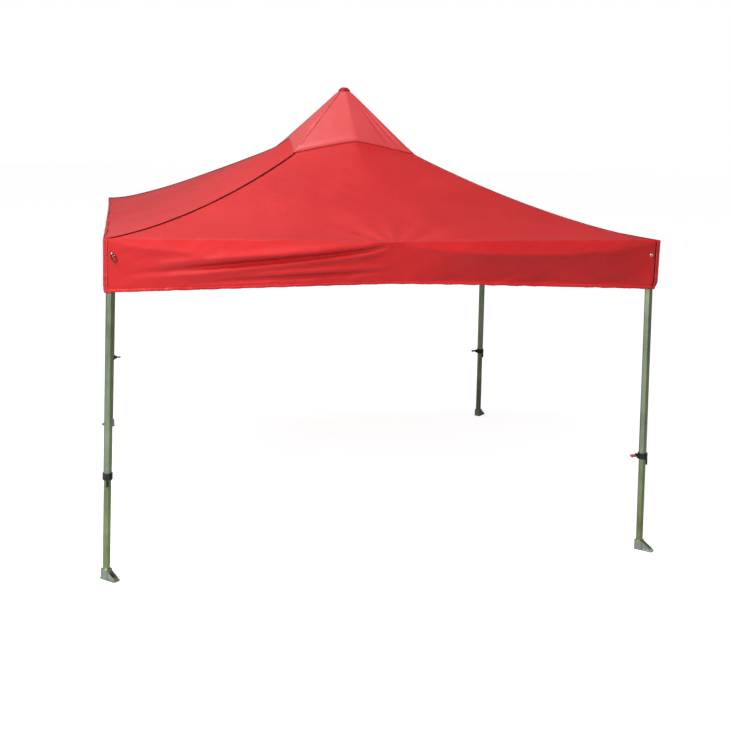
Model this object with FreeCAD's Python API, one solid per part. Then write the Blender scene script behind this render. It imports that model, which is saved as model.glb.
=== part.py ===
"""Square pop up canopy: folding scissor frame, four telescopic hexagonal legs and a red roof.

Millimetres, +Z up.  The origin is on the ground, in the middle of the four feet.
The front is -Y.  Everything repeats four times by quarter turns about +Z, so the
shapes of one side (the front) and one leg (front left) are made once and turned.
"""
import FreeCAD, Part
import math
import os

V = FreeCAD.Vector
UP = V(0, 0, 1)

# ---- overall sizes
ROOF_HALF = 1800.0        # half of the roof's outer side
LEG = 1762.0              # leg axis to the middle, along X and along Y
EAVE_Z = 2100.0           # top edge of the valance
PEAK_Z = 3090.0           # tip of the roof
VALANCE_DROP = 330.0      # height of the hanging valance
CAP_HALF = 435.0          # half side of the steep roof cap
CAP_Z = EAVE_Z + 530.0    # height where the steep cap meets the slack lower roof
SAG_POWER = 1.45          # how strongly the lower roof hangs between cap and eave
CLOTH = 2.0               # thickness of the cloth solid

# ---- scissor truss
PIN_Z = 2020.0            # pins of the corner brackets and of the upper hub
BAR_DROP = 180.0          # height difference of the two ends of an open bar
LEG_ARM = 50.0            # leg axis to bracket pin, and canopy axis to hub pin
MID_ARM = 30.0            # mid connector's middle to each of its pins
BAR_RUN = LEG - LEG_ARM - MID_ARM
BAR_LENGTH = math.hypot(BAR_RUN, BAR_DROP)
SHORT_ARM = 655.0         # crossing pin to the end at a leg or a hub
LONG_ARM = BAR_LENGTH - SHORT_ARM
SLOPE = math.asin(BAR_DROP / BAR_LENGTH)
NEAR_DROP = 2 * SHORT_ARM * math.sin(SLOPE)
MID_RISE = (LONG_ARM - SHORT_ARM) * math.sin(SLOPE)
SLIDER_Z = PIN_Z - NEAR_DROP
MID_TOP_Z = PIN_Z + MID_RISE
MID_BOTTOM_Z = PIN_Z - BAR_DROP

BAR_WIDE = 24.0
BAR_THICK = 10.0
BAR_WALL = 1.6
LAYER_GAP = 1.0           # half of the gap between the two bar layers
BAR_END = 13.0            # bar end beyond its pin
PIN_R = 4.0
HOLE_R = 4.05
HEAD_R = 7.0
HEAD_THICK = 2.0
HEAD_GAP = 0.4
EAR_HALF = 14.0           # ear beyond its pin

# ---- legs
UPPER_FLATS = 46.0        # hexagon across flats
LOWER_FLATS = 41.0
TUBE_WALL = 2.0
COLLAR_Z = 638.0
COLLAR_HALF = 20.0
COLLAR_R = 31.0
UPPER_TOP_Z = 2086.0
LOWER_TOP_Z = 1240.0
BRACKET_HALF = 31.0
BRACKET_BOTTOM_Z = 1990.0
BRACKET_TOP_Z = 2094.0
SLIDER_HALF = 32.0
SLIDER_BELOW = 22.0
SLIDER_ABOVE = 40.0
SLIDE_GAP = 0.4
FOOT_TOP_Z = 62.0
FOOT_PLATE = 6.0
FOOT_HALF = 27.0
FOOT_REACH = 96.0
STAKE_R = 5.5
STAKE_AT = 78.0
LEVER_REACH = 82.0
LEVER_PIN_R = 3.0

# ---- hubs and centre pole
HUB_HALF = 24.0
POLE_R = 12.5
POLE_TOP_Z = 2760.0
ROD_R = 9.0
ROD_BOTTOM_Z = 2330.0
CROWN_Z = 3028.0
CROWN_R = 45.0

SIDES = ["front", "right", "back", "left"]
LEGS = ["front_left", "front_right", "back_right", "back_left"]
LEG_PLACES = [(-LEG, -LEG), (LEG, -LEG), (LEG, LEG), (-LEG, LEG)]
# directions, in degrees from +X, of each leg's release lever and foot plate
LEVER_WAYS = [90.0, 180.0, 180.0, 0.0]
FOOT_WAYS = [-45.0, -45.0, 45.0, 135.0]


def box(x0, x1, y0, y1, z0, z1):
    return Part.makeBox(x1 - x0, y1 - y0, z1 - z0, V(x0, y0, z0))


def cylinder(radius, start, way, length):
    return Part.makeCylinder(radius, length, start, way)


def hexagon(flats, z0, z1, gap=0.0):
    """Hexagonal prism about Z, one corner facing the canopy's diagonal at 45 degrees."""
    radius = (flats / 2 + gap) / math.cos(math.radians(30))
    corners = []
    for i in range(7):
        angle = math.radians(45 + 60 * i)
        corners.append(V(radius * math.cos(angle), radius * math.sin(angle), z0))
    return Part.Face(Part.makePolygon(corners)).extrude(V(0, 0, z1 - z0))


def hex_tube(flats, z0, z1):
    return hexagon(flats, z0, z1).cut(hexagon(flats - 2 * TUBE_WALL, z0 - 1, z1 + 1))


def turned(shape, quarter):
    """The shape turned by quarter turns about the canopy's axis."""
    copy = shape.copy()
    copy.rotate(V(0, 0, 0), UP, 90 * quarter)
    return copy


def moved(shape, degrees, x, y):
    copy = shape.copy()
    copy.rotate(V(0, 0, 0), UP, degrees)
    copy.translate(V(x, y, 0))
    return copy


def fuse(shapes):
    result = shapes[0]
    for shape in shapes[1:]:
        result = result.fuse(shape)
    return result.removeSplitter()


# ---- truss pieces, in flat coordinates: s runs along the truss, z up, and the layer
# ---- offset u is measured across it.  place_flat puts them in the canopy's frame.

def layer(side):
    """The span of u that a bar layer takes: +1 is the outer layer, -1 the inner one."""
    low = LAYER_GAP if side > 0 else -LAYER_GAP - BAR_THICK
    return low, low + BAR_THICK


def flat_pin(s, z, from_layer):
    """A pin standing on from_layer and going through the other layer, with its head."""
    way = -1 if from_layer > 0 else 1
    root = -way * LAYER_GAP
    length = 2 * LAYER_GAP + BAR_THICK + HEAD_GAP
    pin = cylinder(PIN_R, V(s, root, z), V(0, way, 0), length)
    head = cylinder(HEAD_R, V(s, root + way * length, z), V(0, way, 0), HEAD_THICK)
    return pin.fuse(head)


def flat_bar(s0, z0, s1, z1, side, crossing_pin):
    """A rectangular tube from pin to pin.  The crossing is SHORT_ARM from the first end."""
    low, high = layer(side)
    length = math.hypot(s1 - s0, z1 - z0)
    half = BAR_WIDE / 2
    tube = box(-BAR_END, length + BAR_END, low, high, -half, half)
    tube = tube.cut(box(-BAR_END - 1, length + BAR_END + 1, low + BAR_WALL, high - BAR_WALL,
                        -half + BAR_WALL, half - BAR_WALL))
    holes = [0.0, length]
    if not crossing_pin:
        holes.append(SHORT_ARM)
    for s in holes:
        tube = tube.cut(cylinder(HOLE_R, V(s, low - 1, 0), V(0, 1, 0), BAR_THICK + 2))
    if crossing_pin:
        core = cylinder(PIN_R + 2, V(SHORT_ARM, low + 1, 0), V(0, 1, 0), BAR_THICK - 1)
        tube = tube.fuse(core).fuse(flat_pin(SHORT_ARM, 0, side))
    angle = math.degrees(math.atan2(z1 - z0, s1 - s0))
    tube.rotate(V(0, 0, 0), V(0, 1, 0), -angle)
    tube.translate(V(s0, 0, z0))
    return tube


def front_truss(shape):
    """Flat coordinates to the front side: s is X, and u points outwards, to -Y."""
    copy = shape.mirror(V(0, 0, 0), V(0, 1, 0))
    copy.translate(V(0, -LEG, 0))
    return copy


def front_arm(shape):
    """Flat coordinates to the front arm: s points outwards, to -Y, and u is X."""
    copy = shape.copy()
    copy.rotate(V(0, 0, 0), UP, -90)
    return copy


def side_bars(way):
    """The two crossing bars from the leg at s = way * LEG to the middle of the side."""
    leg_s = way * (LEG - LEG_ARM)
    mid_s = way * MID_ARM
    down = flat_bar(leg_s, PIN_Z, mid_s, MID_BOTTOM_Z, 1, True)
    up = flat_bar(leg_s, SLIDER_Z, mid_s, MID_TOP_Z, -1, False)
    return front_truss(down), front_truss(up)


def arm_bars():
    """The two crossing bars from the hubs to the middle of the front side."""
    down = flat_bar(LEG_ARM, PIN_Z, LEG - MID_ARM, MID_BOTTOM_Z, -1, True)
    up = flat_bar(LEG_ARM, SLIDER_Z, LEG - MID_ARM, MID_TOP_Z, 1, False)
    return front_arm(down), front_arm(up)


def mid_connector(z, bar_layer, arm_layer):
    """Joins the two side trusses and the centre arm at the middle of the front side."""
    plate_low, plate_high = layer(-bar_layer)
    plate = box(-MID_ARM - EAR_HALF, MID_ARM + EAR_HALF, plate_low, plate_high,
                z - EAR_HALF, z + EAR_HALF)
    pins = [flat_pin(s, z, -bar_layer) for s in (-MID_ARM, MID_ARM)]
    outer = front_truss(fuse([plate] + pins))
    ear_low, ear_high = layer(-arm_layer)
    ear = box(LEG - MID_ARM - EAR_HALF, LEG + (plate_low + plate_high) / 2, ear_low, ear_high,
              z - EAR_HALF, z + EAR_HALF)
    inner = front_arm(ear.fuse(flat_pin(LEG - MID_ARM, z, -arm_layer)))
    return fuse([outer, inner])


def hub(z, bar_layer):
    """Square block on the canopy's axis with an ear and a pin for each of the four arms."""
    low, high = layer(-bar_layer)
    block = box(-HUB_HALF, HUB_HALF, -HUB_HALF, HUB_HALF, z - EAR_HALF - 6, z + EAR_HALF + 6)
    ear = box(HUB_HALF - 1, LEG_ARM + EAR_HALF, low, high, z - EAR_HALF, z + EAR_HALF)
    ear = front_arm(ear.fuse(flat_pin(LEG_ARM, z, -bar_layer)))
    return fuse([block] + [turned(ear, k) for k in range(4)])


# ---- leg pieces, made at the origin for the front left leg and then moved

def leg_ears(z, bar_layer, half):
    """The two ears of the front left leg, along the front (+X) and the left side (+Y)."""
    low, high = layer(-bar_layer)
    ear = box(half - 1, LEG_ARM + EAR_HALF, low, high, z - EAR_HALF, z + EAR_HALF)
    ear = ear.fuse(flat_pin(LEG_ARM, z, -bar_layer))
    along_front = ear.mirror(V(0, 0, 0), V(0, 1, 0))
    along_left = along_front.mirror(V(0, 0, 0), V(1, -1, 0))
    return [along_front, along_left]


def upper_leg():
    tube = hex_tube(UPPER_FLATS, COLLAR_Z, UPPER_TOP_Z)
    bracket = box(-BRACKET_HALF, BRACKET_HALF, -BRACKET_HALF, BRACKET_HALF,
                  BRACKET_BOTTOM_Z, BRACKET_TOP_Z)
    bracket = bracket.makeChamfer(5, [e for e in bracket.Edges if abs(e.tangentAt(0).z) > 0.9])
    bracket = fuse([bracket] + leg_ears(PIN_Z, 1, BRACKET_HALF))
    bracket = bracket.cut(hexagon(UPPER_FLATS, BRACKET_BOTTOM_Z - 1, UPPER_TOP_Z))
    return [tube, bracket]


def slider():
    block = box(-SLIDER_HALF, SLIDER_HALF, -SLIDER_HALF, SLIDER_HALF,
                SLIDER_Z - SLIDER_BELOW, SLIDER_Z + SLIDER_ABOVE)
    block = block.makeChamfer(5, [e for e in block.Edges if abs(e.tangentAt(0).z) > 0.9])
    block = fuse([block] + leg_ears(SLIDER_Z, -1, SLIDER_HALF))
    return block.cut(hexagon(UPPER_FLATS, SLIDER_Z - 100, SLIDER_Z + 100, SLIDE_GAP))


def collar(leg_turn):
    """Collar at the upper tube's end, with two ears for the lever, which points to +X."""
    ring = cylinder(COLLAR_R, V(0, 0, COLLAR_Z - COLLAR_HALF), UP, 2 * COLLAR_HALF)
    ears = [box(COLLAR_R - 8, COLLAR_R + 16, y, y + 5, COLLAR_Z - 12, COLLAR_Z + 12)
            for y in (-18.0, 13.0)]
    guard = box(-COLLAR_R - 2, -COLLAR_R + 5, -9, 9, COLLAR_Z - 62, COLLAR_Z + COLLAR_HALF)
    pin = cylinder(LEVER_PIN_R, V(COLLAR_R + 8, -18, COLLAR_Z), V(0, 1, 0), 36)
    body = fuse([ring, guard, pin] + ears)
    body.rotate(V(0, 0, 0), UP, leg_turn)
    body = body.cut(hexagon(UPPER_FLATS, COLLAR_Z, COLLAR_Z + 100))
    return body.cut(hexagon(LOWER_FLATS, COLLAR_Z - 100, COLLAR_Z + 1, SLIDE_GAP))


def lever():
    """Release lever pointing to +X, hinged on the collar's pin."""
    hub_x = COLLAR_R + 8
    boss = cylinder(7, V(hub_x, -12.5, COLLAR_Z), V(0, 1, 0), 25)
    paddle = box(hub_x, LEVER_REACH, -12.5, 12.5, COLLAR_Z - 4, COLLAR_Z + 5)
    paddle = paddle.makeFillet(4, [e for e in paddle.Edges
                                   if abs(e.tangentAt(0).z) > 0.9 and e.CenterOfMass.x > hub_x + 5])
    lip = box(LEVER_REACH - 9, LEVER_REACH - 4, -9, 9, COLLAR_Z - 9, COLLAR_Z - 3)
    body = fuse([boss, paddle, lip])
    return body.cut(cylinder(LEVER_PIN_R + 0.05, V(hub_x, -20, COLLAR_Z), V(0, 1, 0), 40))


def foot():
    """Foot with its stake plate to +X."""
    plate = box(-FOOT_HALF, FOOT_REACH, -FOOT_HALF, FOOT_HALF, 0, FOOT_PLATE)
    plate = plate.makeFillet(12, [e for e in plate.Edges
                                  if abs(e.tangentAt(0).z) > 0.9 and e.CenterOfMass.x > 0])
    boot = box(-FOOT_HALF, FOOT_HALF, -FOOT_HALF, FOOT_HALF, 0, FOOT_TOP_Z)
    boot = boot.makeChamfer(6, [e for e in boot.Edges if abs(e.tangentAt(0).z) > 0.9])
    ribs = []
    for y in (-19.0, 15.0):
        outline = [V(FOOT_HALF - 1, y, 1), V(FOOT_REACH - 8, y, 1), V(FOOT_REACH - 8, y, 14),
                   V(FOOT_HALF - 1, y, FOOT_TOP_Z - 6), V(FOOT_HALF - 1, y, 1)]
        ribs.append(Part.Face(Part.makePolygon(outline)).extrude(V(0, 4, 0)))
    body = fuse([plate, boot] + ribs)
    return body.cut(cylinder(STAKE_R, V(STAKE_AT, 0, -1), UP, FOOT_PLATE + 2))


# ---- cloth

def roof_height(r):
    """Height of the cloth's underside at r from the axis, measured across a side."""
    if r <= CAP_HALF:
        return PEAK_Z - (PEAK_Z - CAP_Z) * r / CAP_HALF
    share = (ROOF_HALF - r) / (ROOF_HALF - CAP_HALF)
    return EAVE_Z + (CAP_Z - EAVE_Z) * share ** SAG_POWER


def roof_side():
    """Front roof panel and its valance, cut at the hips, where it meets its neighbours."""
    steps = [4.0, CAP_HALF]
    spans = 7
    for i in range(1, spans + 1):
        steps.append(CAP_HALF + (ROOF_HALF - CAP_HALF) * i / spans)
    top = [V(0, -r, roof_height(r) - CLOTH / 2) for r in steps]
    under = [V(0, -r + (CLOTH if r == ROOF_HALF else 0), roof_height(r) - CLOTH * 1.5 - 1)
             for r in steps]
    hem = [V(0, -ROOF_HALF, EAVE_Z - VALANCE_DROP), V(0, -ROOF_HALF + CLOTH, EAVE_Z - VALANCE_DROP)]
    outline = top + hem + under[::-1]
    profile = Part.Face(Part.makePolygon(outline + outline[:1]))
    profile.translate(V(-ROOF_HALF - 10, 0, 0))
    sheet = profile.extrude(V(2 * ROOF_HALF + 20, 0, 0))
    gap = 0.4
    far = ROOF_HALF + 50
    wedge = [V(0, -gap, 0), V(far - gap, -far, 0), V(-far + gap, -far, 0), V(0, -gap, 0)]
    keep = Part.Face(Part.makePolygon(wedge)).extrude(V(0, 0, PEAK_Z + 100))
    return sheet.common(keep)


# ---- centre pole

def lower_hub_and_pole():
    block = hub(SLIDER_Z, 1)
    pole = cylinder(POLE_R, V(0, 0, SLIDER_Z - 10), UP, POLE_TOP_Z - SLIDER_Z + 10)
    bore = cylinder(ROD_R + 0.3, V(0, 0, SLIDER_Z + 30), UP, POLE_TOP_Z)
    block = block.cut(cylinder(POLE_R, V(0, 0, SLIDER_Z - 10), UP, 200))
    return block, pole.cut(bore)


def peak_rod():
    rod = cylinder(ROD_R, V(0, 0, ROD_BOTTOM_Z), UP, CROWN_Z - ROD_BOTTOM_Z + 5)
    rim = cylinder(CROWN_R, V(0, 0, CROWN_Z - 6), UP, 6)
    dome = Part.makeCone(CROWN_R, 8, 42, V(0, 0, CROWN_Z))
    return fuse([rod, rim, dome])


def build():
    os.makedirs("parts", exist_ok=True)
    nodes = {}
    for k, side in enumerate(SIDES):
        left_down, left_up = side_bars(-1)
        right_down, right_up = side_bars(1)
        arm_down, arm_up = arm_bars()
        nodes["side_bar_down_" + side + "_l"] = turned(left_down, k)
        nodes["side_bar_up_" + side + "_l"] = turned(left_up, k)
        nodes["side_bar_down_" + side + "_r"] = turned(right_down, k)
        nodes["side_bar_up_" + side + "_r"] = turned(right_up, k)
        nodes["arm_bar_down_" + side] = turned(arm_down, k)
        nodes["arm_bar_up_" + side] = turned(arm_up, k)
        nodes["mid_connector_top_" + side] = turned(mid_connector(MID_TOP_Z, -1, 1), k)
        nodes["mid_connector_bottom_" + side] = turned(mid_connector(MID_BOTTOM_Z, 1, -1), k)
        nodes["roof_" + side] = turned(roof_side(), k)
    for k, name in enumerate(LEGS):
        x, y = LEG_PLACES[k]
        turn = 90.0 * k
        tube_and_bracket = [moved(shape, turn, x, y) for shape in upper_leg()]
        collar_shape = moved(collar(LEVER_WAYS[k] - turn), turn, x, y)
        nodes["upper_leg_" + name] = Part.makeCompound(tube_and_bracket + [collar_shape])
        nodes["slider_" + name] = moved(slider(), turn, x, y)
        nodes["lower_leg_" + name] = moved(hex_tube(LOWER_FLATS, FOOT_PLATE, LOWER_TOP_Z), turn, x, y)
        foot_shape = foot()
        foot_shape.rotate(V(0, 0, 0), UP, FOOT_WAYS[k] - turn)
        foot_shape = foot_shape.cut(hexagon(LOWER_FLATS, FOOT_PLATE, FOOT_TOP_Z + 1))
        nodes["foot_" + name] = moved(foot_shape, turn, x, y)
        nodes["release_lever_" + name] = moved(lever(), LEVER_WAYS[k], x, y)
    upper = hub(PIN_Z, -1).cut(cylinder(POLE_R + 0.5, V(0, 0, 0), UP, PEAK_Z))
    nodes["upper_hub"] = upper
    nodes["lower_hub"], nodes["centre_pole"] = lower_hub_and_pole()
    nodes["peak_rod"] = peak_rod()
    for name, shape in nodes.items():
        shape.exportStep("parts/" + name + ".step")
        print(name, "solids", len(shape.Solids), "valid", shape.isValid(), "cm3", round(shape.Volume / 1000, 1))
    print("nodes", len(nodes), "slope", round(math.degrees(SLOPE), 3), "bar", round(BAR_LENGTH, 1))


build()
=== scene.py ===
"""Looks of the pop up canopy: its red cloth, seams, hems and finishes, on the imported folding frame.

Metres, +Z up, the front is -Y, as in the frame.  Everything on the cloth is made once in a side's
own coordinates (along the side, outwards, up) and turned by quarter turns to the four sides.
"""

import math

import bpy
import numpy as np
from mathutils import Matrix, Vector


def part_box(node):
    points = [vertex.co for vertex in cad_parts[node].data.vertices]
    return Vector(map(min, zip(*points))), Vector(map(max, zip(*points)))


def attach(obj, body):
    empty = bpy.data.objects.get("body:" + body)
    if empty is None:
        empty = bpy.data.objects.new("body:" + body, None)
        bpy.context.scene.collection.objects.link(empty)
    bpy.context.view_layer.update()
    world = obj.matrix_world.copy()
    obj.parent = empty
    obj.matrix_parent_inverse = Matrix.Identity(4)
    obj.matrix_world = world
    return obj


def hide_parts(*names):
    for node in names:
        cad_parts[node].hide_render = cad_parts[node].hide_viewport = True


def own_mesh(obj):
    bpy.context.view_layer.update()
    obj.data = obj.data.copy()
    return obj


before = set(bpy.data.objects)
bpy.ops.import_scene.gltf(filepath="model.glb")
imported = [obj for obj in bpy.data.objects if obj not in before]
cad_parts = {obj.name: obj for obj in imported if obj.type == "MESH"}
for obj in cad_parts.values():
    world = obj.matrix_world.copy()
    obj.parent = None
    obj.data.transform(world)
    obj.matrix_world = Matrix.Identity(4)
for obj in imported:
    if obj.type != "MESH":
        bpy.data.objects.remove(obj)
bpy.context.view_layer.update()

SIDES = ["front", "right", "back", "left"]
LEGS = ["front_left", "front_right", "back_right", "back_left"]

# ---- places and sizes taken from the frame
ROOF_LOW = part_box("roof_front")[0]
ROOF_HALF = -ROOF_LOW.y              # half of the roof's outer side
HEM_Z = ROOF_LOW.z                   # lower edge of the valance at the corners
VALANCE = 0.330
EAVE_Z = HEM_Z + VALANCE
TIP_ABOVE_ROD = 0.050                # the tip of the cloth stands this far over the peak rod
PEAK_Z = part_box("peak_rod")[1].z + TIP_ABOVE_ROD
COLLAR_TOP = 0.660                   # faces of an upper leg below this are its collar's
BRACKET_FOOT = 1.985                 # and above this its bracket's

# ---- shape of the roof, as shares of ROOF_HALF from the peak outwards
CAP = 0.255                          # edge of the steep cap
CAP_RISE = 0.505                     # its height above the eave
CROWN = 0.062                        # the middle of a panel stands this far above its hips' line
HANG_POWER = 1.45                    # how the slack lower roof hangs between cap and eave
MID_DROP = 0.018                     # the eave is lower at the middle of each side
HEM_LIFT = 0.045                     # and the hem is higher there
SEAM_SHADOW_INSET = 0.006                   # the painted shadow line of the hip seam lies this far in from its panel's end
BAND_WIDTH = 0.022                   # doubled cloth round a corner of the valance, to each side
BAND_SEAM = 0.018                    # its row of stitches
LAP_WIDTH = 0.012                    # width of the turned lap at the panel's other end
CAP_LIFT = 0.0050                    # the cap lies this far over the panels
CAP_HEM = 0.0030                     # and its turned edge is this much thicker
CREASES = ((0.84, 0.045, -0.0120), (0.66, 0.055, -0.0070))   # beside a hip: place, width, depth

# ---- how the photographed cloth differs from side to side, and from corner to corner
EAVE_SAG = [0.040, 0.028, 0.028, 0.012]          # inwards, half way from a corner to the middle
FOLD_DEPTH = [1.0, 0.8, 0.8, 0.3]                # share of the front valance's folds
HIP_SLACK = [-0.020, -0.006, 0.0, 0.030]         # how far each hip hangs above its plain curve
CORNER_BULGE = [0.004, 0.008, 0.004, 0.004]      # the front right corner flap stands out

# ---- stitches: where their rows lie, from one to the next, and how long each is
HIP_STITCH_ROWS = (0.016, 0.023)
HIP_STITCH_PITCH = 0.012
HIP_STITCH = 0.0035                  # as a share of the hip
HEM_STITCH_ROW = 0.925               # share of the valance's height
HEM_STITCH_PITCH = 0.0060            # shares of half a side
HEM_STITCH = 0.0038
CORNER_STITCH_PITCH = 0.030          # shares of the valance's height
CORNER_STITCH = 0.020

# ---- first seed of each set of ripples, to which the number of the side or corner is added
EAVE_SEED = 31
PANEL_SEED = 11
HEM_LINE_SEED = 53
GATHER_SEED = 91
VALANCE_SEED = 5
TUCK_SEED = 71
PUCKER_SEED = 17
BAND_SEED = 41

# ---- camera, fitted to the corners, collars and feet in the photo
CAMERA_PLACE = (-1.72, -8.75, 2.82)
CAMERA_TURN = math.radians(11.72)
CAMERA_PITCH = math.radians(-2.95)
CAMERA_ROLL = math.radians(1.4)
CAMERA_LENS = 55.9
CAMERA_SHIFT = (0.016, -0.250)       # the optical centre is above the middle of the photo

# ---- light
WINDOW_LIGHT = 0.42                  # strength of the backdrop's light from the left
SHADE_LIGHT = 0.10                   # and from the right
FLOOR_GLOW = 0.86                    # brings the floor up to white, in the camera's view only


# ---- helpers

def smooth(value, start, end):
    """0 before start, 1 after end and a soft step between them."""
    share = np.clip((value - start) / (end - start), 0.0, 1.0)
    return share * share * (3 - 2 * share)


def bump(value, centre, width):
    """A smooth bump of height 1."""
    return np.exp(-((value - centre) / width) ** 2)


def waves(along, across, seed, count, longest, shortest, slant=0.5):
    """Smooth seeded ripples between -1 and 1, mostly running across `along`."""
    source = np.random.default_rng(seed)
    total = np.zeros(np.broadcast(along, across).shape)
    weight = 0.0
    for _ in range(count):
        length = math.exp(source.uniform(math.log(shortest), math.log(longest)))
        lean = source.uniform(-slant, slant)
        phase = source.uniform(0, 2 * math.pi)
        size = length ** 0.7
        total = total + size * np.sin(2 * math.pi * (along + lean * across) / length + phase)
        weight += size
    return total / weight


def to_side(along, out, up, quarter):
    """Points of a side's own coordinates, turned to that side of the canopy."""
    points = np.stack(np.broadcast_arrays(along, -out, up), axis=-1).astype(float)
    for _ in range(quarter):
        points = np.stack([-points[..., 1], points[..., 0], points[..., 2]], axis=-1)
    return points


def side_axis(quarter):
    """Direction along a side, from its left end to its right end."""
    return [(1, 0, 0), (0, 1, 0), (-1, 0, 0), (0, -1, 0)][quarter]


def link(name, data):
    """A new object of the scene."""
    piece = bpy.data.objects.new(name, data)
    bpy.context.scene.collection.objects.link(piece)
    return piece


def grid_piece(name, points, uv, wrap=False):
    """A smooth mesh of a grid of points; uv gives each point's place on the flat cloth, in metres."""
    rows, cols = points.shape[:2]
    faces = []
    last = cols if wrap else cols - 1
    for i in range(rows - 1):
        for j in range(last):
            k = (j + 1) % cols
            faces.append((i * cols + j, i * cols + k, (i + 1) * cols + k, (i + 1) * cols + j))
    mesh = bpy.data.meshes.new(name)
    mesh.from_pydata(points.reshape(-1, 3).tolist(), [], faces)
    layer = mesh.uv_layers.new(name="flat_cloth")
    flat = uv.reshape(-1, 2)
    corners = np.zeros(len(mesh.loops), dtype=np.int32)
    mesh.loops.foreach_get("vertex_index", corners)
    layer.data.foreach_set("uv", flat[corners].astype(np.float32).ravel())
    mesh.polygons.foreach_set("use_smooth", [True] * len(mesh.polygons))
    mesh.update()
    return link(name, mesh)


def thicken(piece, thickness):
    """Gives a sheet its thickness, on its inner side."""
    solid = piece.modifiers.new("thickness", "SOLIDIFY")
    solid.thickness = thickness
    solid.offset = -1.0
    bpy.context.view_layer.update()
    evaluated = piece.evaluated_get(bpy.context.evaluated_depsgraph_get())
    mesh = bpy.data.meshes.new_from_object(evaluated)
    piece.modifiers.clear()
    piece.data = mesh


def tube_piece(name, path, radius, sides=8, closed=False, flatten=1.0):
    """A tube along a path of points."""
    path = np.asarray(path, float)
    if closed:
        ahead, behind = np.roll(path, -1, 0), np.roll(path, 1, 0)
        tangent = ahead - behind
        helper = np.cross(path - path.mean(axis=0), tangent).sum(axis=0)
    else:
        tangent = np.gradient(path, axis=0)
        upright = np.abs(path[-1] - path[0]).argmax() == 2
        helper = np.array([1.0, 0.0, 0.0] if upright else [0.0, 0.0, 1.0])
    tangent /= np.linalg.norm(tangent, axis=1)[:, None]
    side = np.cross(tangent, helper)
    side /= np.linalg.norm(side, axis=1)[:, None]
    top = np.cross(side, tangent)
    turn = np.linspace(0, 2 * math.pi, sides, endpoint=False)
    radius = np.broadcast_to(radius, (len(path),))[:, None, None]
    ring = radius * (np.cos(turn)[None, :, None] * side[:, None, :]
                     + flatten * np.sin(turn)[None, :, None] * top[:, None, :])
    points = path[:, None, :] + ring
    if closed:
        points = np.concatenate([points, points[:1]])
    steps = np.arange(points.shape[0])[:, None] * 0.004
    uv = np.stack(np.broadcast_arrays(steps, turn[None, :] * 0.004), axis=-1)
    return grid_piece(name, points, uv, wrap=True)


def join(name, pieces):
    """One object of several."""
    bpy.ops.object.select_all(action="DESELECT")
    for piece in pieces:
        piece.select_set(True)
    bpy.context.view_layer.objects.active = pieces[0]
    bpy.ops.object.join()
    pieces[0].name = name
    pieces[0].data.name = name
    return pieces[0]


# ---- materials

class Shader:
    """A Principled material with short calls for its nodes."""

    def __init__(self, name, colour, roughness, metallic=0.0):
        self.material = bpy.data.materials.new(name)
        self.material.use_nodes = True
        self.tree = self.material.node_tree
        self.principled = self.tree.nodes["Principled BSDF"]
        self.set("Base Color", (*colour, 1.0))
        self.set("Roughness", roughness)
        self.set("Metallic", metallic)
        self.height = None

    def set(self, socket, value):
        self.principled.inputs[socket].default_value = value

    def node(self, kind, **inputs):
        made = self.tree.nodes.new(kind)
        for name, value in inputs.items():
            made.inputs[name.replace("_", " ")].default_value = value
        return made

    def link(self, output, target):
        self.tree.links.new(output, target)

    def coords(self, output="Object", scale=(1, 1, 1)):
        source = self.tree.nodes.new("ShaderNodeTexCoord")
        mapping = self.tree.nodes.new("ShaderNodeMapping")
        mapping.inputs["Scale"].default_value = scale
        self.link(source.outputs[output], mapping.inputs["Vector"])
        return mapping.outputs["Vector"]

    def noise(self, vector, scale, detail=3.0, roughness=0.55):
        made = self.node("ShaderNodeTexNoise", Scale=scale, Detail=detail, Roughness=roughness)
        self.link(vector, made.inputs["Vector"])
        return made.outputs["Fac"]

    def wave(self, vector, scale, direction, distortion=0.0):
        made = self.node("ShaderNodeTexWave", Scale=scale, Distortion=distortion)
        made.bands_direction = direction
        self.link(vector, made.inputs["Vector"])
        return made.outputs["Fac"]

    def ramp(self, factor, stops):
        made = self.tree.nodes.new("ShaderNodeValToRGB")
        elements = made.color_ramp.elements
        while len(elements) < len(stops):
            elements.new(0.5)
        for element, (place, colour) in zip(elements, stops):
            element.position = place
            element.color = (*colour, 1.0)
        self.link(factor, made.inputs["Fac"])
        return made.outputs["Color"]

    def spread(self, factor, low, high):
        """The factor's 0.25 to 0.75 mapped to low to high."""
        made = self.node("ShaderNodeMapRange")
        made.inputs["From Min"].default_value = 0.25
        made.inputs["From Max"].default_value = 0.75
        made.inputs["To Min"].default_value = low
        made.inputs["To Max"].default_value = high
        self.link(factor, made.inputs["Value"])
        return made.outputs["Result"]

    def relief(self, factor, strength, distance):
        """Adds a layer of bump under the ones already there."""
        made = self.node("ShaderNodeBump", Strength=strength, Distance=distance)
        self.link(factor, made.inputs["Height"])
        if self.height is not None:
            self.link(self.height, made.inputs["Normal"])
        self.height = made.outputs["Normal"]
        self.link(self.height, self.principled.inputs["Normal"])


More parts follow.
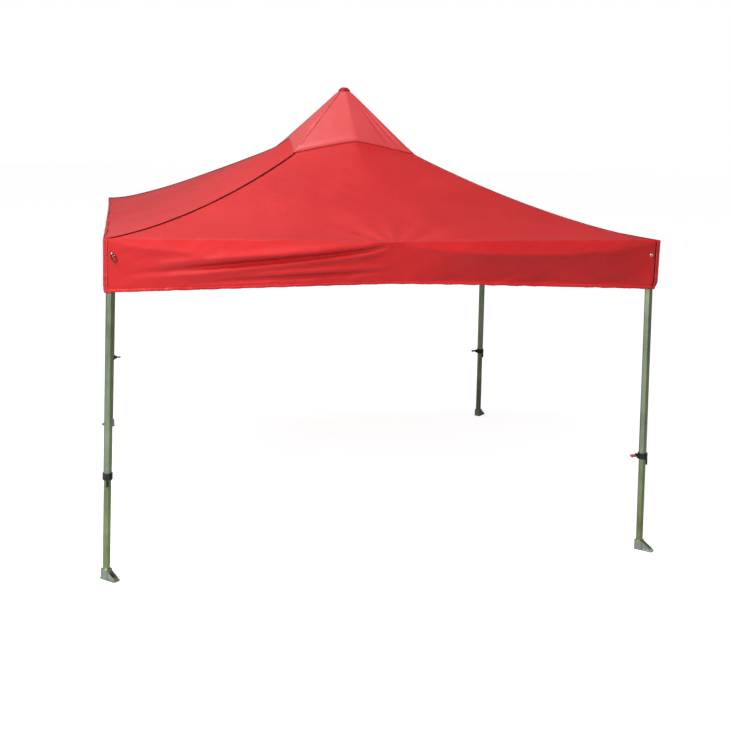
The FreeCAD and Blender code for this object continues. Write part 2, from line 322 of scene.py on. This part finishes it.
def cloth_material(name, deep, light, roughness=0.44, gloss=0.30):
    """Coated polyester: soft colour drift, fine plain weave, slight creasing and a satin coat."""
    cloth = Shader(name, light, roughness)
    flat = cloth.coords("UV")
    place = cloth.coords("Object")
    drift = cloth.noise(place, 1.6, 4.0)
    cloth.link(cloth.ramp(drift, [(0.3, deep), (0.7, light)]), cloth.principled.inputs["Base Color"])
    cloth.link(cloth.spread(cloth.noise(place, 7.0, 3.0), roughness - 0.05, roughness + 0.07),
               cloth.principled.inputs["Roughness"])
    cloth.relief(cloth.wave(flat, 520.0, "X"), 0.10, 0.0004)
    cloth.relief(cloth.wave(flat, 520.0, "Y"), 0.10, 0.0004)
    cloth.relief(cloth.noise(cloth.coords("Object", (1.0, 1.0, 0.45)), 9.0, 4.0), 0.22, 0.006)
    cloth.relief(cloth.noise(place, 38.0, 3.0), 0.10, 0.0012)
    cloth.set("Specular IOR Level", gloss)
    cloth.set("Sheen Weight", 0.04)
    cloth.set("Sheen Roughness", 0.5)
    return cloth.material


def metal_material(name, dark, light, roughness, along=(1, 1, 1), grain=220.0):
    """Drawn aluminium: fine lines along the tube, soft stains and a dull anodised finish. The green tint
    given to the frame's metals through these colours is a painted reflection of green grass.
    """
    metal = Shader(name, light, roughness, 1.0)
    lines = metal.noise(metal.coords("Object", along), grain, 2.0)
    stains = metal.noise(metal.coords("Object"), 5.0, 5.0)
    metal.link(metal.ramp(stains, [(0.3, dark), (0.72, light)]), metal.principled.inputs["Base Color"])
    metal.link(metal.spread(stains, roughness - 0.06, roughness + 0.08),
               metal.principled.inputs["Roughness"])
    metal.relief(lines, 0.12, 0.0004)
    metal.set("Specular IOR Level", 0.5)
    return metal.material


def plastic_material(name, dark, light, roughness):
    """Moulded nylon with a fine eroded texture and scuffed highlights."""
    plastic = Shader(name, light, roughness)
    scuffs = plastic.noise(plastic.coords("Object"), 34.0, 5.0)
    plastic.link(plastic.ramp(scuffs, [(0.35, dark), (0.75, light)]),
                 plastic.principled.inputs["Base Color"])
    plastic.link(plastic.spread(scuffs, roughness - 0.08, roughness + 0.1),
                 plastic.principled.inputs["Roughness"])
    plastic.relief(plastic.noise(plastic.coords("Object"), 900.0, 2.0), 0.18, 0.0003)
    return plastic.material


PANEL_CLOTH = cloth_material("panel_cloth", (0.470, 0.012, 0.014), (0.550, 0.018, 0.020), 0.48, 0.26)
CAP_CLOTH = cloth_material("cap_cloth", (0.540, 0.040, 0.042), (0.620, 0.056, 0.058), 0.335, 0.90)
VALANCE_CLOTH = cloth_material("valance_cloth", (0.500, 0.010, 0.012), (0.600, 0.015, 0.017), 0.43, 0.42)
HEM_CLOTH = cloth_material("hem_cloth", (0.480, 0.010, 0.012), (0.660, 0.030, 0.034), 0.38)
# near-black maroon for thin tubes that are painted shadow: the shade under each hip seam's lap and in the
# crease beside each valance corner's doubled cloth
SHADOW_LINE_CLOTH = cloth_material("painted_shadow_line", (0.050, 0.002, 0.003), (0.095, 0.003, 0.004), 0.85, 0.0)
PALE_THREAD = cloth_material("corner_thread", (0.62, 0.20, 0.19), (0.78, 0.36, 0.34), 0.5, 0.3)
THREAD = cloth_material("stitch_thread", (0.30, 0.008, 0.010), (0.42, 0.012, 0.014), 0.5, 0.3)
KNOT_CLOTH = cloth_material("knot_cloth", (0.260, 0.006, 0.008), (0.420, 0.010, 0.012), 0.5, 0.2)
# The green tint of the frame's metal colours below, strongest in the olive leg tubes, is a painted
# reflection of green grass; the eyelets' metal is without it.
UPPER_METAL = metal_material("upper_tube", (0.250, 0.320, 0.200), (0.370, 0.450, 0.300), 0.36,
                             (1, 1, 0.02))
LOWER_METAL = metal_material("lower_tube", (0.230, 0.300, 0.145), (0.360, 0.440, 0.225), 0.38,
                             (1, 1, 0.02))
TRUSS_METAL = metal_material("truss_bar", (0.360, 0.400, 0.370), (0.560, 0.600, 0.560), 0.34,
                             (0.05, 0.05, 1))
FOOT_METAL = metal_material("foot_plate", (0.300, 0.350, 0.290), (0.520, 0.570, 0.500), 0.42,
                            (1, 1, 1), 60.0)
POLE_METAL = metal_material("centre_pole", (0.380, 0.410, 0.390), (0.600, 0.630, 0.600), 0.3,
                            (1, 1, 0.02))
EYELET_METAL = metal_material("eyelet_metal", (0.50, 0.48, 0.44), (0.78, 0.76, 0.70), 0.25,
                              (1, 1, 1), 300.0)
BLACK_PLASTIC = plastic_material("black_nylon", (0.006, 0.006, 0.006), (0.020, 0.020, 0.020), 0.42)
RED_PLASTIC = plastic_material("lever_tip", (0.55, 0.040, 0.008), (0.76, 0.085, 0.020), 0.36)

NODE_MATERIALS = [
    ("side_bar", TRUSS_METAL), ("arm_bar", TRUSS_METAL), ("lower_leg", LOWER_METAL),
    ("foot", FOOT_METAL), ("centre_pole", POLE_METAL), ("mid_connector", BLACK_PLASTIC),
    ("slider", BLACK_PLASTIC), ("release_lever", BLACK_PLASTIC), ("upper_hub", BLACK_PLASTIC),
    ("lower_hub", BLACK_PLASTIC), ("peak_rod", POLE_METAL),
]


def finish_frame():
    """Materials of the CAD nodes.  An upper leg is a metal tube with a plastic collar and bracket."""
    for name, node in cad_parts.items():
        if name.startswith("upper_leg"):
            node.data.materials.clear()
            node.data.materials.append(UPPER_METAL)
            node.data.materials.append(BLACK_PLASTIC)
            for face in node.data.polygons:
                face.material_index = int(not COLLAR_TOP < face.center.z < BRACKET_FOOT)
            continue
        for start, material in NODE_MATERIALS:
            if name.startswith(start):
                node.data.materials.clear()
                node.data.materials.append(material)
                for face in node.data.polygons:
                    face.material_index = 0


# ---- the roof's surface, in a side's own coordinates

def hip_rise(r):
    """Height of the hip above the eave, r being its share of the way from the peak to the corner."""
    cap = CAP_RISE + (PEAK_Z - EAVE_Z - CAP_RISE) * (1 - r / CAP)
    share = np.clip((1 - r) / (1 - CAP), 0, None)
    lower = CAP_RISE * share ** HANG_POWER
    soft = 0.012                       # rounds the kink between cap and lower roof
    return lower + 0.5 * ((cap - lower) + np.sqrt((cap - lower) ** 2 + soft ** 2)) - 0.5 * soft


def crown(u, r):
    """How far the middle of a panel stands above the straight line between its hips."""
    share = np.clip((1 - r) / (1 - CAP), 0, 1)
    height = np.where(r < CAP, CROWN * r / CAP, CROWN * share ** 1.25)
    edge = 0.03 + 0.37 * smooth(r, CAP * 0.97, 0.75)
    ridge = u - 0.05 * (1 - u ** 2) * (1 - smooth(r, CAP, 0.5))
    profile = (np.sqrt(1 + edge ** 2) - np.sqrt(ridge ** 2 + edge ** 2)) / (np.sqrt(1 + edge ** 2) - edge)
    return height * profile


def band(t):
    """Lens-shaped band under the eave: none at the corners and at the mid connector."""
    return np.abs(np.sin(math.pi * np.abs(t))) ** 0.75


def eave_inset(t, side):
    """The cloth sags inwards along the eave between a corner and the mid connector."""
    return EAVE_SAG[side] * band(t) + 0.004 * waves(t, 0 * t, EAVE_SEED, 4, 0.5, 0.12)


def eave_drop(t):
    """The eave falls a little from the corners to the mid connector, where it has a soft kink."""
    return MID_DROP * (1 - np.sqrt(t ** 2 + 0.0009)) / (1 - 0.03)


def corner_shift(t, side, share):
    """Shifts of a side's cloth near its two corners, outwards and along the side.

    Both sides of a corner shift alike, so they stay together; share is 1 at the eave.
    """
    right_end = CORNER_BULGE[(side + 1) % 4] * np.clip(t, 0, 1) ** 10
    left_end = CORNER_BULGE[side] * np.clip(-t, 0, 1) ** 10
    return (right_end + left_end) * share, (right_end - left_end) * share


def hip_slack(u, r, side):
    """The panel follows the slack of the hips at its two ends, least in its middle."""
    left_end, right_end = ((1 - u) / 2) ** 2, ((1 + u) / 2) ** 2
    slack = HIP_SLACK[side] * left_end + HIP_SLACK[(side + 1) % 4] * right_end
    return slack * bump(r, 0.5, 0.34) * (1 - smooth(r, 0.80, 1.0)) * smooth(r, 0.0, 0.2)


def panel_wrinkles(u, r, side):
    """Faint creases: along the eave, fanning from the mid connector, and beside the hips."""
    inside = (1 - u ** 8) * smooth(r, 0.03, 0.12)
    along, down = u * r * ROOF_HALF, r * ROOF_HALF
    ripple = 0.0030 * waves(along, down, PANEL_SEED + side, 9, 0.75, 0.16, 1.2) * smooth(r, 0.25, 0.5)
    fan = np.arctan2(along, (1.02 - r) * ROOF_HALF + 0.02)
    ripple = ripple + 0.0035 * np.sin(fan * 13 + side) * bump(r, 1.0, 0.22) * bump(u, 0, 0.5)
    for place, width, depth in CREASES:
        ripple = ripple + depth * bump(u, place, width) * bump(r, 0.16, 0.07)
    return ripple * inside


def panel_surface(u, r, side, lift=0.0):
    """Points of a roof side: u from -1 to 1 between its hips, r from 0 at the peak to 1 at the eave."""
    r = np.broadcast_to(r, np.broadcast(u, r).shape)
    u = np.broadcast_to(u, r.shape)
    near_eave = smooth(r, 0.72, 1.0) ** 2
    tip = 0.030 * np.exp(-(r / 0.016) ** 2)          # the tip is rounded over the crown
    up = EAVE_Z + hip_rise(r) + crown(u, r) - tip + hip_slack(u, r, side)
    up = up - eave_drop(u) * near_eave + panel_wrinkles(u, r, side) + lift
    bulge, stretch = corner_shift(u, side, smooth(r, 0.90, 1.0))
    out = ROOF_HALF * r - eave_inset(u, side) * (1 - u ** 12) * near_eave + bulge
    along = ROOF_HALF * r * u + stretch
    return along, out, up


def panel_uv(u, r):
    """Places on the flat panel, which is longer than its level run as it slopes."""
    u, r = np.broadcast_arrays(u, r)
    return np.stack([u * r * ROOF_HALF, r * ROOF_HALF * 1.18], axis=-1)


def roof_panel(side):
    """One of the four cloth triangles between the hips and the eave."""
    rows = np.concatenate([np.linspace(0.004, CAP, 34), np.linspace(CAP, 1.0, 96)[1:]])[:, None]
    cols = np.linspace(-1, 1, 145)[None, :]
    points = to_side(*panel_surface(cols, rows, side), side)
    piece = grid_piece("panel_" + SIDES[side], points, panel_uv(cols, rows))
    thicken(piece, 0.0010)
    piece.data.materials.append(PANEL_CLOTH)
    return piece


def roof_cap(side):
    """Second layer over the peak, with a turned lower edge that arcs up in the middle."""
    down = np.linspace(0.0, 1.0, 30)[:, None]
    cols = np.linspace(-1, 1, 145)[None, :]
    edge = CAP * (1.0 - 0.06 * (1 - np.abs(cols) ** 1.7))
    rows = 0.006 + (edge - 0.006) * down
    lift = CAP_LIFT + CAP_HEM * smooth(down, 0.90, 0.94) * (1 - smooth(down, 0.99, 1.0))
    points = to_side(*panel_surface(cols, rows, side, lift), side)
    piece = grid_piece("cap_" + SIDES[side], points, panel_uv(cols, rows))
    thicken(piece, 0.0022)
    piece.data.materials.append(CAP_CLOTH)
    return piece


def hip_seam_shadow(side):
    """Painted shadow along the hip at a side's left end: a thin dark tube where the seam's lap throws its
    shade.
    """
    rows = np.concatenate([np.linspace(0.020, CAP, 50), np.linspace(CAP, 1.0, 120)[1:]])
    along, out, up = panel_surface(-1 + SEAM_SHADOW_INSET / (rows * ROOF_HALF), rows, side, 0.0028)
    path = to_side(along, out, up, side)
    piece = tube_piece("hip_seam_shadow_" + LEGS[side], path, 0.0062, flatten=0.6)
    piece.data.materials.append(SHADOW_LINE_CLOTH)
    return piece


def hip_lap(side):
    """Turned lap of the panel's own cloth along the hip at its right end."""
    rows = np.concatenate([np.linspace(0.030, CAP, 40), np.linspace(CAP, 0.995, 110)[1:]])[:, None]
    across = np.linspace(0.0, 1.0, 7)[None, :]
    u = 1 - (0.001 + LAP_WIDTH * across) / (rows * ROOF_HALF)
    lift = 0.0016 + 0.0022 * np.sin(math.pi * across) + 0.0050 * (1 - smooth(rows, CAP, CAP + 0.01))
    points = to_side(*panel_surface(u, rows, side, lift), side)
    uv = np.stack(np.broadcast_arrays(across * LAP_WIDTH, rows * ROOF_HALF), axis=-1)
    piece = grid_piece("hip_lap_" + LEGS[(side + 1) % 4], points, uv)
    thicken(piece, 0.0010)
    piece.data.materials.append(HEM_CLOTH)
    return piece


def hip_stitches(side, hand):
    """Two rows of raised stitches beside a hip, on one side's panel."""
    made = []
    length = ROOF_HALF * 1.45
    for offset in HIP_STITCH_ROWS:
        for start in np.linspace(0.06, 0.985, int(length / HIP_STITCH_PITCH)):
            r = np.array([start, start + HIP_STITCH])
            u = hand * (1 - offset / (r * ROOF_HALF))
            along, out, up = panel_surface(u, r, side, 0.0052 if start < CAP else 0.0012)
            made.append(to_side(along, out, up, side))
    return stitch_mesh("hip_stitch_%s_%s" % (SIDES[side], "r" if hand > 0 else "l"), made)


def stitch_mesh(name, runs, radius=0.0009, thread=THREAD):
    """Many short threads as one mesh, each a small four-sided spindle."""
    verts = []
    faces = []
    for run in runs:
        start, end = run[0], run[-1]
        way = end - start
        way = way / (np.linalg.norm(way) + 1e-9)
        side = np.cross(way, [0.0, 0.0, 1.0])
        side = side / (np.linalg.norm(side) + 1e-9)
        top = np.cross(side, way)
        base = len(verts)
        middle = (start + end) / 2 + top * radius
        verts.append(start.tolist())
        for turn in range(4):
            angle = math.pi / 2 * turn
            offset = radius * (math.cos(angle) * side + math.sin(angle) * top)
            verts.append((middle + offset).tolist())
        verts.append(end.tolist())
        for turn in range(4):
            first, second = base + 1 + turn, base + 1 + (turn + 1) % 4
            faces.append((base, second, first))
            faces.append((base + 5, first, second))
    mesh = bpy.data.meshes.new(name)
    mesh.from_pydata(verts, [], faces)
    mesh.polygons.foreach_set("use_smooth", [True] * len(mesh.polygons))
    mesh.update()
    piece = link(name, mesh)
    piece.data.materials.append(thread)
    return piece


# ---- the valance, in a side's own coordinates: t from -1 to 1 along it, v from 0 at the eave to 1

def valance_folds(t, v, side):
    """Outward shift of the cloth: slanting folds that run from the mid connector to a low corner."""
    hand = -1 if side in (0, 2) else 1
    far = np.clip(hand * t, 0, 1)
    window = smooth(far, 0.0, 0.10) * (1 - smooth(far, 0.55, 0.98))
    first = 0.02 + 0.66 * np.clip(far, 1e-4, 1) ** 0.62
    fold = 0.024 * bump(v, first - 0.12, 0.10) - 0.026 * bump(v, first + 0.02, 0.050)
    fold = fold + 0.014 * bump(v, first + 0.14, 0.07)
    strength = 0.45 + 0.55 * bump(far, 0.45, 0.38)
    second = 0.70 + 0.24 * far
    low = -0.016 * bump(v, second, 0.040) + 0.012 * bump(v, second - 0.10, 0.07)
    low = low * bump(far, 0.32, 0.26)
    shift = (fold * strength + low) * window
    other = np.clip(-hand * t, 0, 1)
    tuck = smooth(other, 0.04, 0.30) * (1 - smooth(other, 0.94, 1.0))
    shift = shift - 0.034 * tuck * np.clip((v - 0.28) / 0.60, 0, 1) ** 1.2
    shift = shift + 0.012 * tuck * smooth(v, 0.90, 1.0)
    shift = shift + 0.006 * tuck * bump(v, 0.86, 0.06) * waves(t, 0 * v, TUCK_SEED + side, 5, 0.5, 0.15)
    return shift * FOLD_DEPTH[side]


def valance_height(t):
    """Top and bottom of the valance along a side."""
    top = EAVE_Z - eave_drop(t)
    kink = (1 - np.sqrt(t ** 2 + 0.0025)) / (1 - 0.05)
    bottom = HEM_Z + HEM_LIFT * kink + 0.0036 * waves(t, 0 * t, HEM_LINE_SEED, 10, 0.10, 0.022)
    return top, bottom


def valance_surface(t, v, side, lift=0.0):
    """Points of a hanging valance, lifted outwards."""
    t, v = np.broadcast_arrays(t, v)
    top, bottom = valance_height(t)
    free = 1 - np.abs(t) ** 14
    share = band(t)
    reach = 0.05 + 0.26 * share
    slope = np.clip(1 - v / reach, 0, 1) ** 1.5
    out = ROOF_HALF - eave_inset(t, side) * (1 - t ** 12) * slope
    out = out + 0.010 * share * bump(v, reach, 0.10)
    out = out + valance_folds(t, v, side) * free
    gather = waves(t * ROOF_HALF, 0 * v, GATHER_SEED + side, 26, 0.16, 0.018)
    out = out + 0.0075 * gather * smooth(v, 0.84, 1.0) * free
    out = out + 0.0030 * waves(t * ROOF_HALF, v * VALANCE, VALANCE_SEED + side, 9, 0.5, 0.08, 2.5) * free
    share_out = np.clip(1 - v, 0, 1) ** 1.1 - 1.6 * smooth(v, 0.84, 1.0)
    bulge, stretch = corner_shift(t, side, share_out)
    out = out + bulge + lift
    along = ROOF_HALF * t + stretch
    up = top + (bottom - top) * v
    return along, out, up


def valance(side):
    """The cloth that hangs from the eave along a side."""
    cols = np.linspace(-1, 1, 461)[None, :]
    rows = np.concatenate([np.linspace(0, 0.86, 40), np.linspace(0.86, 1.0, 10)[1:]])[:, None]
    points = to_side(*valance_surface(cols, rows, side), side)
    uv = np.stack(np.broadcast_arrays(cols * ROOF_HALF, rows * VALANCE), axis=-1)
    piece = grid_piece("valance_" + SIDES[side], points, uv)
    thicken(piece, 0.0010)
    piece.data.materials.append(VALANCE_CLOTH)
    return piece


def hem(side):
    """Rolled and gathered hem along the valance's lower edge."""
    cols = np.linspace(-0.997, 0.997, 700)
    tall = 0.020 / VALANCE
    turn = np.linspace(0, 2 * math.pi, 9)[:-1]
    pucker = 1 + 0.35 * waves(cols * ROOF_HALF, 0 * cols, PUCKER_SEED + side, 30, 0.07, 0.012)
    rows = []
    for angle in turn:
        v = 1 - tall * 0.5 + tall * 0.5 * np.cos(angle) * pucker
        lift = 0.0016 + 0.0046 * np.sin(angle) * pucker
        rows.append(to_side(*valance_surface(cols, v, side, lift), side))
    points = np.stack(rows, axis=1)
    uv = np.stack(np.broadcast_arrays(cols[:, None] * ROOF_HALF, turn[None, :] * 0.006), axis=-1)
    piece = grid_piece("hem_" + SIDES[side], points, uv, wrap=True)
    piece.data.materials.append(HEM_CLOTH)
    return piece


def hem_stitches(side):
    """A row of raised stitches above the hem."""
    runs = []
    for start in np.arange(-0.985, 0.985, HEM_STITCH_PITCH):
        t = np.array([start, start + HEM_STITCH])
        v = np.full_like(t, HEM_STITCH_ROW)
        runs.append(to_side(*valance_surface(t, v, side, 0.0012), side))
    return stitch_mesh("hem_stitch_" + SIDES[side], runs, 0.0010)


def corner_band(corner):
    """Doubled cloth folded round a corner of the valance."""
    wide = BAND_WIDTH / ROOF_HALF
    v = np.linspace(0.0, 1.0, 40)[:, None]
    before = (corner - 1) % 4
    first = np.linspace(1 - wide, 1.0, 8)[None, :]
    second = np.linspace(-1.0, -1 + wide, 8)[None, :]
    lift = 0.0022
    ruffle = 0.0022 * waves(v * VALANCE, 0 * v, BAND_SEED + corner, 8, 0.08, 0.015)
    one = to_side(*valance_surface(first, v, before, lift + ruffle), before)
    two = to_side(*valance_surface(second, v, corner, lift + ruffle), corner)
    points = np.concatenate([one[:, :-1], (one[:, -1:] + two[:, :1]) / 2, two[:, 1:]], axis=1)
    across = np.linspace(-BAND_WIDTH, BAND_WIDTH, points.shape[1])[None, :]
    uv = np.stack(np.broadcast_arrays(across, v * VALANCE), axis=-1)
    piece = grid_piece("corner_band_" + LEGS[corner], points, uv)
    thicken(piece, 0.0014)
    piece.data.materials.append(VALANCE_CLOTH)
    return piece


def corner_crease_shadow(side):
    """Painted shadow beside the doubled cloth at the right end of a side: a thin dark tube where a crease
    throws its shade.
    """
    v = np.linspace(0.03, 0.985, 60)
    at = 1 - (BAND_WIDTH + 0.004) / ROOF_HALF
    path = to_side(*valance_surface(np.full_like(v, at), v, side, 0.0018), side)
    piece = tube_piece("corner_crease_shadow_" + LEGS[(side + 1) % 4], path, 0.0030)
    piece.data.materials.append(SHADOW_LINE_CLOTH)
    return piece


def corner_stitches(corner):
    """Long pale stitches down both edges of a corner's doubled cloth."""
    runs = []
    before = (corner - 1) % 4
    for t, side in ((1 - BAND_SEAM / ROOF_HALF, before), (-1 + BAND_SEAM / ROOF_HALF, corner)):
        for start in np.arange(0.03, 0.96, CORNER_STITCH_PITCH):
            v = np.array([start, start + CORNER_STITCH])
            runs.append(to_side(*valance_surface(np.array([t, t]), v, side, 0.0040), side))
    return stitch_mesh("corner_stitch_" + LEGS[corner], runs, 0.0016, PALE_THREAD)


def eyelet(name, side, t, v):
    """Pressed metal eyelet in the valance: a domed washer and its rolled inner rim."""
    point = to_side(*valance_surface(t, v, side, 0.0035), side)
    outwards = to_side(0, 1, 0, side)
    along = np.array(side_axis(side), float)
    turns = np.linspace(0, 2 * math.pi, 33)[:-1]
    circle = np.cos(turns)[:, None] * along + np.sin(turns)[:, None] * np.array([0.0, 0.0, 1.0])
    washer = tube_piece(name, point + circle * 0.0085, 0.0032, 10, closed=True)
    rim = tube_piece(name + "_rim", point + outwards * 0.0012 + circle * 0.0058, 0.0014, closed=True)
    piece = join(name, [washer, rim])
    piece.data.materials.append(EYELET_METAL)
    return piece


def eyelet_link(name, side, t, v):
    """Oval wire link hanging from an eyelet."""
    point = to_side(*valance_surface(t, v, side, 0.008), side)
    along = np.array(side_axis(side), float)
    down = np.array([0.0, 0.0, -1.0])
    turns = np.linspace(0, 2 * math.pi, 41)[:-1]
    outwards = to_side(0, 1, 0, side)
    tilt = 0.55 * along + down
    tilt = tilt / np.linalg.norm(tilt)
    across = np.cross(tilt, outwards)
    path = point + tilt * 0.016
    path = path + np.cos(turns)[:, None] * tilt * 0.026 + np.sin(turns)[:, None] * across * 0.013
    path = path + (0.003 * np.sin(turns * 2))[:, None] * outwards
    piece = tube_piece(name, path, 0.0030, closed=True)
    piece.data.materials.append(BLACK_PLASTIC)
    return piece


def peak_knot():
    """Gathered tip of the cap, tied over the crown: a flat top whose folds run down onto the cap."""
    turns = np.linspace(0, 2 * math.pi, 97)[:-1][None, :]
    rings = np.linspace(0.0, 1.0, 22)[:, None]
    radius = 0.046 * rings
    lobes = np.sin(7 * turns + 0.6) + 0.6 * np.sin(12 * turns + 2.0)
    top = PEAK_Z - 0.013
    drop = 0.5 * (radius - 0.024 + np.sqrt((radius - 0.024) ** 2 + 0.012 ** 2))
    height = top - 1.25 * drop + 0.0035 * lobes * smooth(rings, 0.15, 0.6)
    x, y, z = np.broadcast_arrays(radius * np.cos(turns), radius * np.sin(turns), height)
    points = np.stack([x, y, z], axis=-1)
    uv = np.stack([x, y], axis=-1)
    piece = grid_piece("peak_knot", points, uv, wrap=True)
    thicken(piece, 0.0015)
    piece.data.materials.append(KNOT_CLOTH)
    return piece


# ---- small hard pieces

def lever_tip(leg):
    """Soft coloured grip moulded over the end of a release lever."""
    low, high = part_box("release_lever_" + leg)
    middle_y = (high.y + low.y) / 2
    middle_z = (low.z + high.z) / 2 + 0.003
    half_wide = (high.y - low.y) / 2 + 0.0015
    half_tall = 0.0068
    turns = np.linspace(0, 2 * math.pi, 25)[:-1]
    rounded_y = np.sign(np.cos(turns)) * np.abs(np.cos(turns)) ** 0.6
    rounded_z = np.sign(np.sin(turns)) * np.abs(np.sin(turns)) ** 0.6
    rings = []
    for place, size in ((0.030, 0.92), (0.029, 1.0), (0.016, 1.04), (0.006, 1.04), (0.000, 0.98),
                        (-0.004, 0.80), (-0.006, 0.45), (-0.0062, 0.0)):
        x = np.full_like(turns, low.x + place)
        y = middle_y + rounded_y * half_wide * size
        z = middle_z + rounded_z * half_tall * size
        rings.append(np.stack([x, y, z], axis=-1))
    points = np.stack(rings)
    piece = grid_piece("lever_tip_" + leg, points, points[..., :2], wrap=True)
    piece.data.materials.append(RED_PLASTIC)
    return piece


# ---- putting the pieces on the frame

def on_roof(piece, side):
    """Cloth that swings down with its roof side."""
    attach(piece, "roof_" + SIDES[side])
    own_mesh(piece)


def on_eave(piece, side):
    """Cloth that stays hanging from its side's mid connector."""
    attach(piece, "mid_top_" + SIDES[side])
    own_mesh(piece)


def dress_side(side):
    """All cloth of one side."""
    name = SIDES[side]
    panel = roof_panel(side)
    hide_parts("roof_" + name)
    cap = roof_cap(side)
    # the dark tube along the hip is a painted shadow of the seam's lap
    seam = hip_seam_shadow(side)
    lap = hip_lap(side)
    stitches = [hip_stitches(side, -1), hip_stitches(side, 1)]
    for piece in [panel, cap, seam, lap] + stitches:
        on_roof(piece, side)
    hanging = valance(side)
    edge = hem(side)
    thread = hem_stitches(side)
    wrap = corner_band(side)
    wrap_thread = corner_stitches(side)
    # the dark tube beside the corner's doubled cloth is a painted crease shadow
    crease_shadow = corner_crease_shadow(side)
    for piece in (hanging, edge, thread, wrap, wrap_thread, crease_shadow):
        on_eave(piece, side)


def dress_corners():
    """Eyelets at the front corners, with the link that hangs from the left one."""
    inset = 0.052 / ROOF_HALF
    left = eyelet("eyelet_front_left", 0, -1 + inset, 0.30)
    hook = eyelet_link("eyelet_link_front_left", 0, -1 + inset, 0.32)
    right = eyelet("eyelet_front_right", 0, 1 - inset, 0.30)
    for piece in (left, hook, right):
        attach(piece, "mid_top_front")
        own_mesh(piece)


def dress_frame():
    """The grips of the two right-hand levers, and the gathered tip on the peak rod."""
    for leg in ("front_right", "back_right"):
        tip = lever_tip(leg)
        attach(tip, "lever_" + leg)
    knot = peak_knot()
    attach(knot, "peak_rod")


# ---- camera, light and floor

def camera():
    """Standing at the front, a little left of the middle, with the view turned to the right."""
    turn, pitch, roll = CAMERA_TURN, CAMERA_PITCH, CAMERA_ROLL
    data = bpy.data.cameras.new("camera")
    data.sensor_width = 36.0
    data.lens = CAMERA_LENS
    data.shift_x, data.shift_y = CAMERA_SHIFT
    eye = link("camera", data)
    eye.location = CAMERA_PLACE
    forward = Vector((math.sin(turn) * math.cos(pitch), math.cos(turn) * math.cos(pitch),
                      math.sin(pitch)))
    right = Vector((math.cos(turn), -math.sin(turn), 0.0))
    up = right.cross(forward)
    tilted_right = math.cos(roll) * right + math.sin(roll) * up
    tilted_up = -math.sin(roll) * right + math.cos(roll) * up
    matrix = eye.matrix_world.to_3x3()
    matrix.col[0], matrix.col[1], matrix.col[2] = tilted_right, tilted_up, -forward
    eye.rotation_mode = "QUATERNION"
    eye.rotation_quaternion = matrix.to_quaternion()
    bpy.context.scene.camera = eye


def area_light(name, place, target, size, power):
    """A round white softbox at a place, turned to a target."""
    data = bpy.data.lights.new(name, "AREA")
    data.shape = "DISK"
    data.size = size
    data.energy = power
    lamp = link(name, data)
    lamp.location = place
    lamp.rotation_mode = "QUATERNION"
    lamp.rotation_quaternion = (Vector(target) - Vector(place)).to_track_quat("-Z", "Y")


def mixed(tree, factor, first, second):
    """A mix of two shader outputs by a factor."""
    made = tree.nodes.new("ShaderNodeMixShader")
    tree.links.new(factor, made.inputs["Fac"])
    tree.links.new(first, made.inputs[1])
    tree.links.new(second, made.inputs[2])
    return made.outputs["Shader"]


def backdrop():
    """White behind the object; the light it gives is brighter on the left, as from a large window."""
    world = bpy.data.worlds.new("studio")
    world.use_nodes = True
    tree = world.node_tree
    light = tree.nodes["Background"]
    place = tree.nodes.new("ShaderNodeTexCoord")
    split = tree.nodes.new("ShaderNodeSeparateXYZ")
    tree.links.new(place.outputs["Generated"], split.inputs["Vector"])
    fade = tree.nodes.new("ShaderNodeMapRange")
    fade.inputs["From Min"].default_value = -0.9
    fade.inputs["From Max"].default_value = 0.7
    fade.inputs["To Min"].default_value = WINDOW_LIGHT
    fade.inputs["To Max"].default_value = SHADE_LIGHT
    tree.links.new(split.outputs["X"], fade.inputs["Value"])
    tree.links.new(fade.outputs["Result"], light.inputs["Strength"])
    light.inputs["Color"].default_value = (1, 1, 1, 1)
    white = tree.nodes.new("ShaderNodeBackground")
    white.inputs["Color"].default_value = (1, 1, 1, 1)
    white.inputs["Strength"].default_value = 1.0
    path = tree.nodes.new("ShaderNodeLightPath")
    shown = mixed(tree, path.outputs["Is Camera Ray"], light.outputs["Background"],
                  white.outputs["Background"])
    tree.links.new(shown, tree.nodes["World Output"].inputs["Surface"])
    bpy.context.scene.world = world


def pale_floor():
    """A floor that shows almost white and throws back less light than it shows."""
    far = 60.0
    below = -0.001                     # under the feet, so that their soles don't flicker
    mesh = bpy.data.meshes.new("floor")
    mesh.from_pydata([(-far, -far, 0), (far, -far, 0), (far, far, 0), (-far, far, 0)], [], [(0, 1, 2, 3)])
    floor = link("floor", mesh)
    floor.location.z = below
    pale = Shader("pale_floor", (0.52, 0.52, 0.52), 0.9)
    pale.set("Specular IOR Level", 0.0)
    glow = pale.tree.nodes.new("ShaderNodeEmission")
    glow.inputs["Strength"].default_value = FLOOR_GLOW
    both = pale.tree.nodes.new("ShaderNodeAddShader")
    pale.link(pale.principled.outputs["BSDF"], both.inputs[0])
    pale.link(glow.outputs["Emission"], both.inputs[1])
    path = pale.tree.nodes.new("ShaderNodeLightPath")
    shown = mixed(pale.tree, path.outputs["Is Camera Ray"], pale.principled.outputs["BSDF"],
                  both.outputs["Shader"])
    pale.link(shown, pale.tree.nodes["Material Output"].inputs["Surface"])
    floor.data.materials.append(pale.material)


def studio():
    """Lights of a product photo: the key and front lights on the left, faint ones above and right."""
    backdrop()
    pale_floor()
    bpy.context.scene.view_settings.view_transform = "Standard"
    area_light("key", (-7.0, -5.0, 11.5), (0, 0, 2.2), 3.5, 1240)
    area_light("front", (-4.2, -6.6, 4.4), (-0.8, -1.8, 2.0), 1.6, 290)
    area_light("top", (-1.6, 1.0, 9.0), (0, -0.4, 2.8), 2.4, 110)
    area_light("fill", (8.0, -10.0, 5.0), (0, 0, 1.8), 6.0, 60)


finish_frame()
for quarter in range(4):
    dress_side(quarter)
dress_corners()
dress_frame()
camera()
studio()
